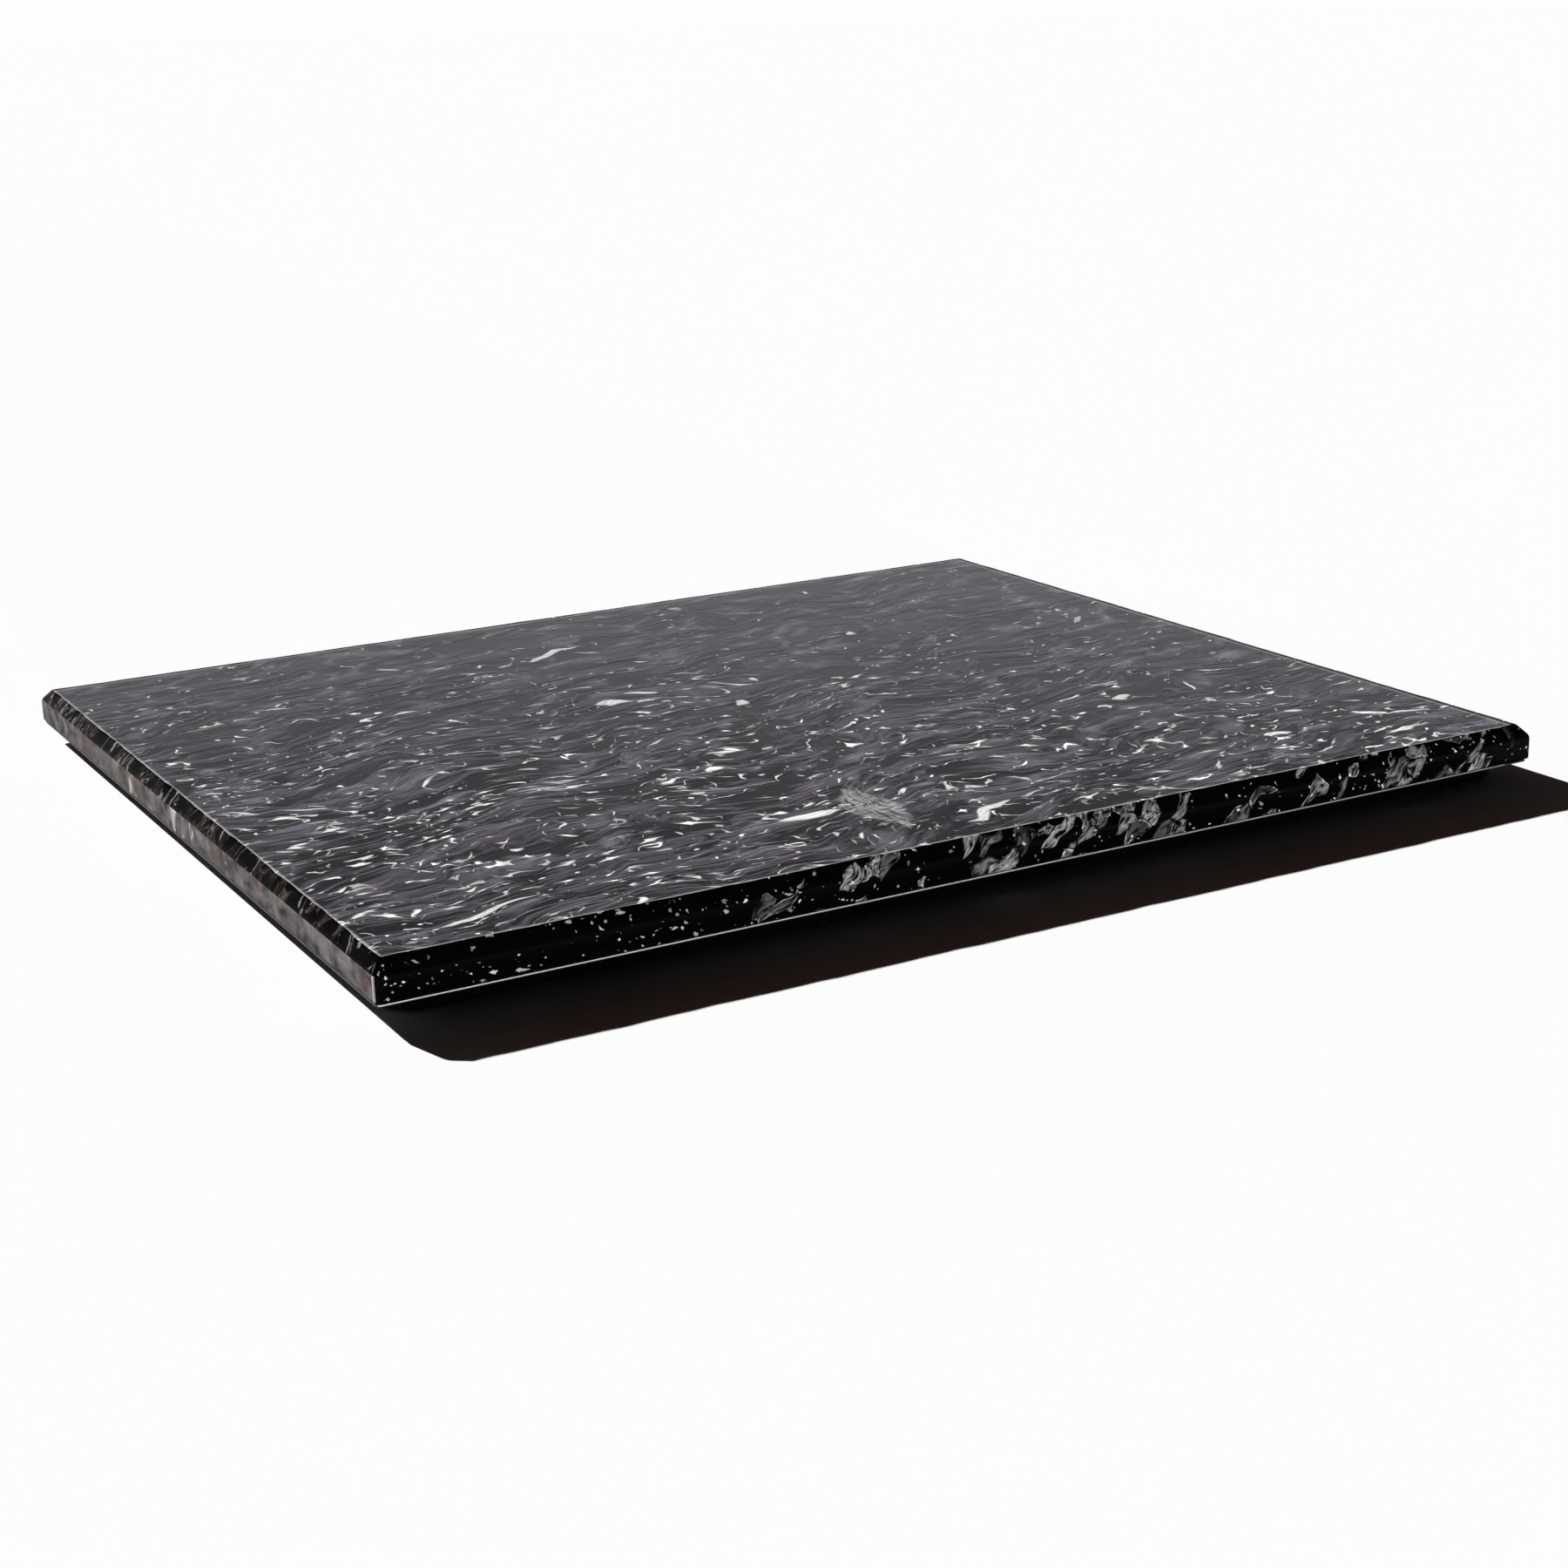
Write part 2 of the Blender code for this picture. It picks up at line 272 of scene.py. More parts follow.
def makeHonedFace(spec, slabHigh):
    material, tree, shader, place = startMaterial("limestoneHoned", {
        "Roughness": spec["roughness"], "IOR": 1.5, "Specular IOR Level": 0.45})
    slow = bentPlace(tree, place, 60, 40)
    bent = bentPlace(tree, slow, 13, 8)
    torn = bentPlace(tree, bent, 1.8, 0.6)

    busy = slopeOver(tree, place, (-0.55, -1.0, 0), -150, 190)  # busiest at the front left
    patchy = shade(tree, slow, (46, 34, 30), 15, 1.0, 0.35, 0.65, -0.5, 0.5)
    busy = addNode(tree, "ShaderNodeMath", {"operation": "MULTIPLY_ADD", "use_clamp": True},
                   {0: patchy, 1: 0.45, 2: busy})

    def whereBusy(pair):
        return addNode(tree, "ShaderNodeMapRange", {}, {"Value": busy, "To Min": pair[0], "To Max": pair[1]})

    absent = whereBusy(spec["noSliver"])
    slivers = largest(tree, [flakes(tree, torn, sliver, absent) for sliver in spec["slivers"]])

    start = whereBusy(spec["strokeStart"])
    lines = largest(tree, [strokes(tree, torn, stroke, start) for stroke in spec["strokes"]])
    lines = times(tree, lines, shade(tree, bent, (9, 6, 9), 0, 1.0, 0.35, 0.65, 0.35, 1.0))

    # a large shell is a lens, inside where u u + |v| < 1 in its own half length and half width
    big = []
    ridge = shade(tree, torn, (5, 0.8, 2), 10, 3.0, 0.30, 0.60, 0.45, 1.0)
    for x, y, length, width, turn, bright in spec["shells"]:
        reach = lensReach(tree, torn, (length / 2, width / 2, 40), turn, (x, y, 18))
        big.append(addNode(tree, "ShaderNodeMapRange", {}, {"Value": reach, "From Min": 0.65, "From Max": 1.0,
                                                            "To Min": bright, "To Max": 0.0}))
    big = times(tree, largest(tree, big), ridge)

    # the pale fan-shaped shell is one wide lens of fine ridges that run along it
    pale = spec["paleShell"]
    reach = lensReach(tree, bent, (*pale["size"], 40), pale["turn"], (*pale["centre"], 18))
    patch = addNode(tree, "ShaderNodeMapRange", {}, {"Value": reach, "From Min": 0.80, "From Max": 0.98,
                                                     "To Min": 0.26, "To Max": 0.0})
    patch = times(tree, patch, shade(tree, torn, (12, 0.9, 5), pale["turn"] + 6, 4.0, 0.42, 0.60, 0.05, 1.0))

    white = largest(tree, [slivers, lines, big, patch])
    fade = slopeOver(tree, place, (0.25, 1.0, 0), -60, 160)  # paler and softer towards the back
    fade = addNode(tree, "ShaderNodeMapRange", {}, {
        "Value": fade, "To Min": spec["fade"][0], "To Max": spec["fade"][1]})
    white = times(tree, white, fade)

    # rubbing brings out the bedding as light and dark streaks, strongest where the shells are thickest
    cloud = shade(tree, bent, (52, 20, 20), 10, 3.0, 0.34, 0.70, -0.08, 0.56)
    streak = shade(tree, bent, (34, 10, 12), 14, 3.0, 0.28, 0.74, -1.0, 1.0)
    thread = shade(tree, bent, (30, 2.2, 4), 10, 3.0, 0.28, 0.72, -0.5, 0.5)
    streak = addNode(tree, "ShaderNodeMath", {"operation": "ADD"}, {0: streak, 1: thread})
    tone = addNode(tree, "ShaderNodeMath", {"operation": "MULTIPLY_ADD", "use_clamp": True},
                   {0: streak, 1: whereBusy(spec["bedding"]), 2: cloud})
    grain = shade(tree, place, (0.9, 0.9, 0.9), 0, 2.0, 0.3, 0.7, -0.10, 0.10)
    base = addNode(tree, "ShaderNodeMix", {"data_type": "RGBA"},
                   {"Factor": tone, 6: linearColour(spec["stone"]), 7: linearColour(spec["cloud"])}, 2)
    smoke = shade(tree, bent, (17, 8, 9), 20, 4.0, 0.54, 0.78, 0.0, 0.60)
    base = addNode(tree, "ShaderNodeMix", {"data_type": "RGBA"},
                   {"Factor": smoke, 6: base, 7: linearColour(spec["veil"])}, 2)
    base = addNode(tree, "ShaderNodeMix", {"data_type": "RGBA"},
                   {"Factor": white, 6: base, 7: linearColour(spec["shell"])}, 2)

    # painted highlight: the front and left arrises are painted pale; along the back and right a line of
    # painted shade comes first, then a faint painted highlight
    split = addNode(tree, "ShaderNodeSeparateXYZ", {}, {"Vector": place})
    sides = {}
    for name, operation in (("frontLeft", "ADD"), ("backRight", "SUBTRACT")):
        reach = [addNode(tree, "ShaderNodeMath", {"operation": operation}, {0: float(half), 1: along})
                 for half, along in zip(slabHigh[:2], (split.node.outputs["X"], split.node.outputs["Y"]))]
        sides[name] = addNode(tree, "ShaderNodeMath", {"operation": "MINIMUM"}, {0: reach[0], 1: reach[1]})
    for side, start, end, most, colour in spec["paintedArrisLines"]:
        factor = addNode(tree, "ShaderNodeMapRange", {}, {
            "Value": sides[side], "From Min": start * mm, "From Max": end * mm,
            "To Min": most, "To Max": 0.0})
        base = addNode(tree, "ShaderNodeMix", {"data_type": "RGBA"},
                       {"Factor": factor, 6: base, 7: linearColour(spec[colour])}, 2)
    tree.links.new(base, shader.inputs["Base Color"])
    outsidePaintedShadeLine = addNode(tree, "ShaderNodeMath", {"operation": "SUBTRACT"}, {0: 1.0, 1: factor})

    rough = addNode(tree, "ShaderNodeMath", {"operation": "MULTIPLY_ADD"},
                    {0: tone, 1: 0.10, 2: spec["roughness"] - 0.04})
    tree.links.new(rough, shader.inputs["Roughness"])
    # the darkest streaks take less shine, most of all at the front left, and the painted shade line takes
    # next to none
    shine = addNode(tree, "ShaderNodeMapRange", {}, {
        "Value": tone, "From Max": 0.5, "To Min": whereBusy(spec["darkShine"]),
        "To Max": whereBusy(spec["paleShine"])})
    tree.links.new(times(tree, shine, outsidePaintedShadeLine), shader.inputs["Specular IOR Level"])

    height = addNode(tree, "ShaderNodeMath", {"operation": "MULTIPLY_ADD"}, {0: slivers, 1: 0.3, 2: tone})
    height = addNode(tree, "ShaderNodeMath", {"operation": "MULTIPLY_ADD"}, {0: lines, 1: 0.3, 2: height})
    height = addNode(tree, "ShaderNodeMath", {"operation": "MULTIPLY_ADD"}, {0: grain, 1: 0.2, 2: height})
    bump = addNode(tree, "ShaderNodeBump", {}, {"Height": height, "Strength": 0.9, "Distance": 0.24 * mm})
    tree.links.new(bump, shader.inputs["Normal"])
    return material


# ---- stone, polished edge: the same limestone polished jet black, with grey clasts and small white specks
polishedEdge = {
    "name": "limestonePolished",
    "stone": "#050505",
    "clast": "#e0dedb",
    "shell": "#f8f6f3",
    "roughness": 0.12,
    "gloss": 0.02,
    "specks": [
        {"cell": (3.6, 3.6, 2.8), "turn": 0, "size": 0.42, "soft": 0.08, "dim": 0.25, "point": 1.0,
         "space": "3D"},
        {"cell": (6.5, 4.5, 2.8), "turn": 20, "size": 0.42, "soft": 0.08, "dim": 0.25, "point": 0.8,
         "space": "3D", "offset": (11, 7, 3)},
        {"cell": (2.0, 2.0, 1.5), "turn": 0, "size": 0.40, "soft": 0.10, "dim": 0.2, "point": 1.2,
         "space": "3D", "offset": (4, 2, 8)},
    ],
    "absent": 0.36,
    "absentWhereBusy": 0.60,
    "clastCell": (3.8, 6.5, 9),
    "clastTurn": (0.2, 0.9, 0.3),
    "busier": ((1, 0, 0), -170, -30),  # clasts grow commoner along this direction, between these places in mm
    "clastLimit": (1.00, 0.66),  # the cell's random number above which it is a clast, at the two ends of that
    "bare": ((1, 0, 0), 194, 184),  # no clasts in the last few mm before the right corner
}

# ---- stone, chamfers of the ends: left rougher, brown-black with thin dull lines across
endChamfer = {
    "name": "limestoneEndChamfer",
    "stone": "#030303",
    "clast": "#4f4741",
    "shell": "#7d7a77",
    "roughness": 0.22,
    "gloss": 0.009,
    "specks": [
        {"cell": (5, 3.2, 4), "turn": 15, "size": 0.42, "soft": 0.08, "dim": 0.3, "point": 0.8,
         "space": "3D"},
        {"cell": (9, 2.6, 9), "turn": -20, "size": 0.34, "soft": 0.08, "dim": 0.3, "point": 0.7,
         "space": "3D", "offset": (5, 19, 3)},
    ],
    "absent": 0.40,
    "absentWhereBusy": 0.45,
    "clastCell": (7, 5, 6),
    "clastTurn": (0.4, 0.2, 0.5),
    "busier": ((0, 1, 0), -165, -60),
    "clastLimit": (0.97, 0.42),
    "cracks": {"cell": (16, 5, 12), "turn": 12, "thin": 0.022, "soft": 0.016, "detail": 2.0, "gaps": 1.2},
    "crackStart": 0.50,
    "crackStrength": 0.5,
}


def makePolishedEdge(spec):
    material, tree, shader, place = startMaterial(spec["name"], {
        "Roughness": spec["roughness"], "IOR": 1.5, "Specular IOR Level": spec["gloss"]})
    bent = bentPlace(tree, place, 9, 8)
    torn = bentPlace(tree, bent, 1.1, 1.0)
    busy = slopeOver(tree, place, *spec["busier"])
    absent = addNode(tree, "ShaderNodeMapRange", {}, {"Value": busy, "To Min": spec["absent"],
                                                      "To Max": spec["absentWhereBusy"]})
    specks = largest(tree, [flakes(tree, torn, speck, absent) for speck in spec["specks"]])

    # angular broken shells: whole cells kept where the cell's red is high, gritty inside, some outlined
    tilted = addNode(tree, "ShaderNodeMapping", {"vector_type": "TEXTURE"}, {
        "Vector": bent, "Rotation": spec["clastTurn"], "Scale": tuple(v * mm for v in spec["clastCell"])})
    cells = addNode(tree, "ShaderNodeTexVoronoi", {"voronoi_dimensions": "3D", "feature": "F1"},
                    {"Vector": tilted, "Scale": 1.0}, "Color")
    split = addNode(tree, "ShaderNodeSeparateColor", {}, {"Color": cells})
    limit = addNode(tree, "ShaderNodeMapRange", {}, {"Value": busy, "To Min": spec["clastLimit"][0],
                                                     "To Max": spec["clastLimit"][1]})
    over = addNode(tree, "ShaderNodeMath", {"operation": "SUBTRACT"}, {0: split, 1: limit})
    chosen = addNode(tree, "ShaderNodeMath", {"operation": "MULTIPLY", "use_clamp": True}, {0: over, 1: 40.0})
    rim = addNode(tree, "ShaderNodeTexVoronoi", {"voronoi_dimensions": "3D", "feature": "DISTANCE_TO_EDGE"},
                  {"Vector": tilted, "Scale": 1.0})
    outline = addNode(tree, "ShaderNodeMapRange", {}, {"Value": rim, "From Min": 0.03, "From Max": 0.09,
                                                       "To Min": 1.0, "To Max": 0.0})
    away = addNode(tree, "ShaderNodeMapRange", {}, {"Value": rim, "From Min": 0.02, "From Max": 0.10})
    along = addNode(tree, "ShaderNodeVectorMath", {"operation": "MULTIPLY"}, {0: tilted, 1: (3.6, 4.0, 1.6)})
    grit = addNode(tree, "ShaderNodeTexNoise", {}, {
        "Vector": along, "Scale": 1.0, "Detail": 5.0, "Roughness": 0.65})
    grit = addNode(tree, "ShaderNodeMapRange", {}, {"Value": grit, "From Min": 0.42, "From Max": 0.66})
    level = addNode(tree, "ShaderNodeMath", {"operation": "POWER"}, {0: split.node.outputs["Green"], 1: 1.6})
    body = times(tree, grit, addNode(tree, "ShaderNodeMapRange", {}, {"Value": level, "To Min": 0.10}))
    edged = times(tree, outline, addNode(tree, "ShaderNodeMapRange", {}, {
        "Value": split.node.outputs["Blue"], "From Min": 0.55, "From Max": 0.75}))
    crumbs = times(tree, chosen, largest(tree, [times(tree, body, away), times(tree, edged, grit)]))
    if "bare" in spec:
        crumbs = times(tree, crumbs, slopeOver(tree, place, *spec["bare"]))
    base = addNode(tree, "ShaderNodeMix", {"data_type": "RGBA"},
                   {"Factor": crumbs, 6: linearColour(spec["stone"]), 7: linearColour(spec["clast"])}, 2)
    white = specks
    if "cracks" in spec:
        cracks = strokes(tree, torn, spec["cracks"], spec["crackStart"])
        white = largest(tree, [specks, times(tree, cracks, spec["crackStrength"])])
    base = addNode(tree, "ShaderNodeMix", {"data_type": "RGBA"},
                   {"Factor": white, 6: base, 7: linearColour(spec["shell"])}, 2)
    tree.links.new(base, shader.inputs["Base Color"])
    bump = addNode(tree, "ShaderNodeBump", {}, {"Height": grit, "Strength": 0.3, "Distance": 0.02 * mm})
    tree.links.new(bump, shader.inputs["Normal"])
    return material


# ---- stone, sawn and rubbed ends: satin grey-brown, smeared along the saw, with pale veins across
rubbedEnd = {
    "stone": "#151314",
    "smear": "#655e5f",
    "brown": "#44362e",
    "vein": "#aeaba8",
    # the colour of a painted highlight down the upright front corner
    "worn": "#a8a6a4",
    # the colour of painted shade along the lower arris
    "paintedShade": "#060606",
    "roughness": 0.45,
    "gloss": 0.02,
    "veinStart": 0.52,
    "veinStrength": 0.60,
    "paintedHighlightTo": (1.0, 1.7),  # mm from the front, full up to and gone by
    "paintedShadeTo": (0.6, 1.0),  # mm up from the bottom, the same way
    "veins": [
        {"cell": (30, 22, 60), "turn": 0, "thin": 0.014, "soft": 0.014, "detail": 2.0, "gaps": 1.1},
        {"cell": (30, 12, 40), "turn": 0, "thin": 0.012, "soft": 0.012, "detail": 2.0, "gaps": 1.4,
         "offset": (20, 40, 9)},
    ],
}


def makeRubbedEnd(spec, slabLow):
    material, tree, shader, place = startMaterial("limestoneRubbedEnd", {
        "Roughness": spec["roughness"], "IOR": 1.5, "Specular IOR Level": spec["gloss"]})
    bent = bentPlace(tree, place, 12, 6)
    smear = shade(tree, bent, (20, 8, 5), 0, 5.0, 0.34, 0.68, 0.0, 1.0)
    base = addNode(tree, "ShaderNodeMix", {"data_type": "RGBA"},
                   {"Factor": smear, 6: linearColour(spec["stone"]), 7: linearColour(spec["smear"])}, 2)
    brown = shade(tree, bent, (30, 22, 12), 0, 3.0, 0.50, 0.68, 0.0, 0.7)
    base = addNode(tree, "ShaderNodeMix", {"data_type": "RGBA"},
                   {"Factor": brown, 6: base, 7: linearColour(spec["brown"])}, 2)
    pale = largest(tree, [strokes(tree, bent, vein, spec["veinStart"]) for vein in spec["veins"]])
    pale = times(tree, pale, spec["veinStrength"])
    base = addNode(tree, "ShaderNodeMix", {"data_type": "RGBA"},
                   {"Factor": pale, 6: base, 7: linearColour(spec["vein"])}, 2)
    # painted highlight: a pale line down the upright front corner; painted shade: a black line along the
    # lower arris
    split = addNode(tree, "ShaderNodeSeparateXYZ", {}, {"Vector": place})
    for axis, low, reach, most, colour in (("Y", slabLow[1], spec["paintedHighlightTo"], 0.9, "worn"),
                                           ("Z", slabLow[2], spec["paintedShadeTo"], 0.95, "paintedShade")):
        factor = addNode(tree, "ShaderNodeMapRange", {}, {
            "Value": split.node.outputs[axis], "From Min": float(low) + reach[0] * mm,
            "From Max": float(low) + reach[1] * mm, "To Min": most, "To Max": 0.0})
        base = addNode(tree, "ShaderNodeMix", {"data_type": "RGBA"},
                       {"Factor": factor, 6: base, 7: linearColour(spec[colour])}, 2)
    tree.links.new(base, shader.inputs["Base Color"])
    rough = addNode(tree, "ShaderNodeMath", {"operation": "MULTIPLY_ADD"},
                    {0: smear, 1: 0.14, 2: spec["roughness"] - 0.07})
    tree.links.new(rough, shader.inputs["Roughness"])
    fine = shade(tree, place, (1.4, 1.4, 0.6), 0, 3.0, 0.3, 0.7, 0.0, 1.0)
    bump = addNode(tree, "ShaderNodeBump", {}, {"Height": fine, "Strength": 0.5, "Distance": 0.03 * mm})
    tree.links.new(bump, shader.inputs["Normal"])
    return material


# ---- stone slab: one closed body, its face a fine grid and its edge a profile carried round the outline
slabShape = {
    "cornerRadius": 0.9,  # mm, upright corners
    "chamferIn": 3.3,
    "chamferDown": 3.7,
    "softTop": 0.5,  # length over which each long edge is eased
    "softMiddle": 1.1,
    "softBottom": 0.8,
    "cell": 2.2,  # mesh step along the face
    "wander": 0.30,  # how far the chamfer's inner edge strays from straight
    "wanderFrontLeft": 0.35,  # and how much more it strays near the front left corner
    # the waves that it strays in: share, how many round the outline, start
    "waves": [(0.40, 23, 0.3), (0.30, 41, 1.9), (0.25, 67, 4.1), (0.22, 97, 2.6), (0.18, 141, 0.9)],
    "wanderWidth": 1.1,  # and how far from that edge the straying has died away to about a third
    "gridStop": 2.2,  # the face's grid ends this far inside the chamfer
    "underReach": 6.0,  # and the profile this far in under the slab
}


def planPoint(u, v, halfX, halfY, radius):
    # u and v run from -2 to 2: within 1 along the straight part, beyond it through the corner square,
    # which is bent to a quarter disc by x = p sqrt(1 - q q / 2) and y = q sqrt(1 - p p / 2)
    p, q = np.clip(np.abs(u) - 1, 0, 1), np.clip(np.abs(v) - 1, 0, 1)
    x = np.minimum(np.abs(u), 1) * (halfX - radius) + p * np.sqrt(1 - q * q / 2) * radius
    y = np.minimum(np.abs(v), 1) * (halfY - radius) + q * np.sqrt(1 - p * p / 2) * radius
    return np.sign(u) * x, np.sign(v) * y


def easedProfile(corners, easing, steps=5):
    # straight runs joined by quadratic curves: each corner is left out, and a curve whose control it is
    # joins the points that lie its easing before and after it; a point stands just beside each curve
    runs = [corners[0]]
    for before, corner, after, ease in zip(corners[:-2], corners[1:-1], corners[2:], easing):
        before, corner, after = (np.array(c, float) for c in (before, corner, after))
        back, ahead = before - corner, after - corner
        start = corner + back / np.linalg.norm(back) * ease
        end = corner + ahead / np.linalg.norm(ahead) * ease
        runs.append(corner + back / np.linalg.norm(back) * ease * 1.8)
        for t in np.linspace(0, 1, steps):
            runs.append((1 - t) ** 2 * start + 2 * t * (1 - t) * corner + t * t * end)
        runs.append(corner + ahead / np.linalg.norm(ahead) * ease * 1.8)
    runs.append(corners[-1])
    return np.array(runs, float)


def makeSlab(spec, low, high, materials):
    halfX, halfY = (high[0] - low[0]) / 2, (high[1] - low[1]) / 2
    topZ, bottomZ, radius = high[2], low[2], spec["cornerRadius"] * mm
    bend = np.linspace(1, 2, 5)[1:]
    straightU = np.linspace(-1, 1, int(2 * halfX / (spec["cell"] * mm)))
    straightV = np.linspace(-1, 1, int(2 * halfY / (spec["cell"] * mm)))
    us = np.concatenate([-bend[::-1], straightU, bend])
    vs = np.concatenate([-bend[::-1], straightV, bend])
    nu, nv = len(us), len(vs)

    # profile as (inset, height) in metres, from the face over the chamfer and down under the slab
    cin, cdown = spec["chamferIn"] * mm, spec["chamferDown"] * mm
    profile = easedProfile(
        [(cin + spec["gridStop"] * mm, topZ), (cin, topZ), (0, topZ - cdown), (0, bottomZ),
         (spec["underReach"] * mm, bottomZ)],
        [spec["softTop"] * mm, spec["softMiddle"] * mm, spec["softBottom"] * mm])
    levels = len(profile)

    # face: the grid inside the first profile level
    gridU, gridV = np.meshgrid(us, vs)
    faceX, faceY = planPoint(gridU, gridV, halfX - profile[0, 0], halfY - profile[0, 0], radius)
    face = np.stack([faceX, faceY, np.full(faceX.shape, topZ)], -1).reshape(-1, 3)
    index = np.arange(nu * nv).reshape(nv, nu)
    quads = np.stack([index[:-1, :-1], index[:-1, 1:], index[1:, 1:], index[1:, :-1]], -1).reshape(-1, 4)

    # edge: the grid's outer loop, anticlockwise, at each further level, pushed in or out by a sum of sines
    # that fades in the corners, times exp(-d d), d being wander widths from the chamfer's inner edge
    loop = np.concatenate([index[0, :-1], index[:-1, -1], index[-1, :0:-1], index[:0:-1, 0]])
    loopU, loopV = gridU.reshape(-1)[loop], gridV.reshape(-1)[loop]
    count = len(loop)
    along = np.arange(count) / count * 2 * np.pi
    stray = sum(share * np.sin(number * along + start) for share, number, start in spec["waves"])
    cornerEase = 1 - np.clip(np.abs(loopU) - 1, 0, 1) * np.clip(np.abs(loopV) - 1, 0, 1)
    away = np.hypot(loopU + 1, loopV + 1)
    reach = (spec["wander"] + spec["wanderFrontLeft"] * np.exp(-(away / 0.8) ** 2)) * mm
    rings = []
    for k in range(1, levels):
        inset, z = profile[k]
        weight = np.exp(-((inset - cin) / (spec["wanderWidth"] * mm)) ** 2) * (z > topZ - cdown * 0.8)
        ringX, ringY = planPoint(loopU, loopV, halfX - inset, halfY - inset, radius)
        push = reach * stray * weight * cornerEase
        sideX = (np.abs(loopU) >= 2) * np.sign(loopU)
        sideY = (np.abs(loopV) >= 2) * np.sign(loopV)
        rings.append(np.stack([ringX - push * sideX, ringY - push * sideY, np.full(count, z)], -1))
    points = np.concatenate([face] + rings)
    first = nu * nv
    below = first + np.arange((levels - 1) * count).reshape(levels - 1, count)
    ringIndex = np.concatenate([loop[None, :], below])
    following = np.roll(ringIndex, -1, axis=1)
    band = np.stack([ringIndex[:-1], ringIndex[1:], following[1:], following[:-1]], -1)

    # slots: 0 the honed face, with the inner half of its eased edge at the front and left,
    # 1 the polished long edges, 2 the rubbed upright ends, 3 the chamfers of those ends
    middle = 0.5 * (profile[:-1, 1] + profile[1:, 1]) <= topZ - cdown
    ends = (np.abs(loopU) >= 2) & (np.abs(loopV) < 2)
    slots = np.where(ends, np.where(middle[:, None], 2, 3), 1)
    # the front and left eased edges take the face's material, so that its painted highlight line falls on
    # them
    frontLeft = (loopU <= -2) | (loopV <= -2)
    slots[:3] = np.where(frontLeft, 0, 1)
    slots[0] = 0
    faces = [tuple(q) for q in quads.tolist()] + [tuple(q) for q in band.reshape(-1, 4).tolist()]
    faces.append(tuple(ringIndex[-1][::-1].tolist()))
    faceSlots = np.concatenate([np.zeros(len(quads), int), slots.reshape(-1), [1]])
    return makePiece("slab", points, faces, materials, faceSlots)


slabLow, slabHigh = (np.array(corner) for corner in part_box("stone_slab"))
stoneMaterials = [makeHonedFace(honedFace, slabHigh), makePolishedEdge(polishedEdge),
                  makeRubbedEnd(rubbedEnd, slabLow), makePolishedEdge(endChamfer)]
slab = makeSlab(slabShape, slabLow, slabHigh, stoneMaterials)
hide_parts("stone_slab")
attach(slab, "root")
print("slab:", len(slab.data.polygons), "faces")


# ---- backing sheet: glass fibre set in pale resin, a woven grey-white skin under the stone
glassResin = {
    "resin": "#e2e1dd",
    "thread": "#f3f2ef",
    # the colour of the painted shade on the sheet
    "paintedShade": "#060606",
    "threadSpacing": 2.4,
    "roughness": 0.42,
    # where painted shade darkens it: axis, start and end as side and mm from it, cover at the start and the
    # end
    "paintedShadeSpans": [
        ("X", ("low", 0.3), ("low", 0.6), 1.0, 0.0),
        ("X", ("high", -14), ("high", -9), 0.0, 1.0),
        ("X", ("low", 60), ("high", -20), 0.0, 0.62),
        ("Z", ("low", 0.18), ("low", 0.26), 0.9, 0.0),
    ],
}


def makeGlassResin(spec, low, high):
    material, tree, shader, place = startMaterial("glassFibreResin", {
        "Roughness": spec["roughness"], "IOR": 1.53, "Specular IOR Level": 0.5})
    counted = turnedPlace(tree, place, (spec["threadSpacing"],) * 3, 0)
    weave = []
    for direction in ("X", "Y"):
        weave.append(addNode(tree, "ShaderNodeTexWave", {"wave_type": "BANDS", "bands_direction": direction},
                             {"Vector": counted, "Scale": 0.314, "Distortion": 0.4, "Detail": 1.0}, "Fac"))
    net = largest(tree, weave)
    cloudy = shade(tree, place, (14, 14, 14), 0, 3.0, 0.3, 0.7, -0.2, 0.2)
    net = addNode(tree, "ShaderNodeMath", {"operation": "ADD", "use_clamp": True}, {0: net, 1: cloudy})
    base = addNode(tree, "ShaderNodeMix", {"data_type": "RGBA"},
                   {"Factor": net, 6: linearColour(spec["resin"]), 7: linearColour(spec["thread"])}, 2)
    # painted shade: black over the left end, the right corner and the underside, thinning out along the front
    # towards the left
    split = addNode(tree, "ShaderNodeSeparateXYZ", {}, {"Vector": place})
    corners = {"low": low, "high": high}
    paintedShadeSpans = []
    for axis, *ends, first, last in spec["paintedShadeSpans"]:
        start, end = (float(corners[side]["XYZ".index(axis)] + reach * mm) for side, reach in ends)
        paintedShadeSpans.append(addNode(tree, "ShaderNodeMapRange", {}, {
            "Value": split.node.outputs[axis], "From Min": start, "From Max": end,
            "To Min": first, "To Max": last}))
    base = addNode(tree, "ShaderNodeMix", {"data_type": "RGBA"},
                   {"Factor": largest(tree, paintedShadeSpans), 6: base, 7: linearColour(spec["paintedShade"])}, 2)
    tree.links.new(base, shader.inputs["Base Color"])
    bump = addNode(tree, "ShaderNodeBump", {}, {"Height": net, "Strength": 0.5, "Distance": 0.08 * mm})
    tree.links.new(bump, shader.inputs["Normal"])
    return material


# ---- foam tape: black closed-cell foam, matt with fine cells
foam = {"foam": "#111112", "cell": "#232324", "cellSize": 0.9}


